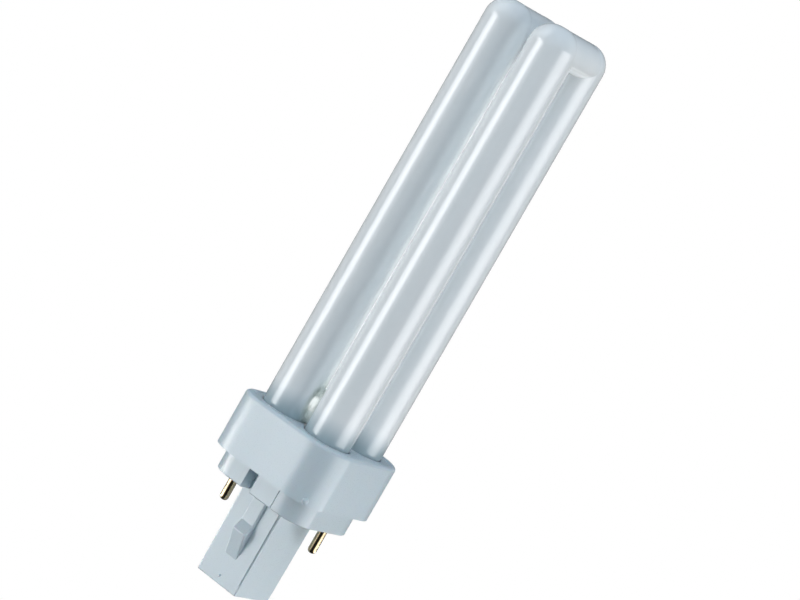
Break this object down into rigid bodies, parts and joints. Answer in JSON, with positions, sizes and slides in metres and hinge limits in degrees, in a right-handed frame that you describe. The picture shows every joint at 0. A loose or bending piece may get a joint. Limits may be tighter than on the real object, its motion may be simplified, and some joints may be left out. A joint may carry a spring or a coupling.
{
  "type": "compact fluorescent lamp",
  "caption": "Compact fluorescent lamp: folded white glass tubes in a moulded collar, on a plug-in cap with brass contact pins, a latched post and key notches.",
  "frame": {"origin": "centre of the shoulder's seating face, on the lamp's axis", "axes": "+Z along the tubes towards their bends, -Y out of the front face, which has its key notch on the left, +X to the right of that face"},
  "size_m": [0.0336, 0.0336, 0.1535],
  "materials": {
    "coated_glass": "clear glossy glass over a white phosphor coat",
    "white_plastic": "satin moulded",
    "cement": "matt, set in place",
    "pin_brass": "polished",
    "starter_glass": "silvered inside",
    "capacitor_case": "dipped resin",
    "lead_wire": "bare tinned"
  },
  "bodies": {
    "root": {"discharge_tube": "coated_glass", "collar": "white_plastic", "tube_cement": "cement", "base_cap": "white_plastic", "contact_pin_left": "pin_brass", "contact_pin_right": "pin_brass", "starter_bulb": "starter_glass", "starter_capacitor": "capacitor_case", "lead_wire_pin_left": "lead_wire", "lead_wire_pin_right": "lead_wire", "lead_wire_starter_left": "lead_wire", "lead_wire_starter_right": "lead_wire"}
  },
  "joints": []
}
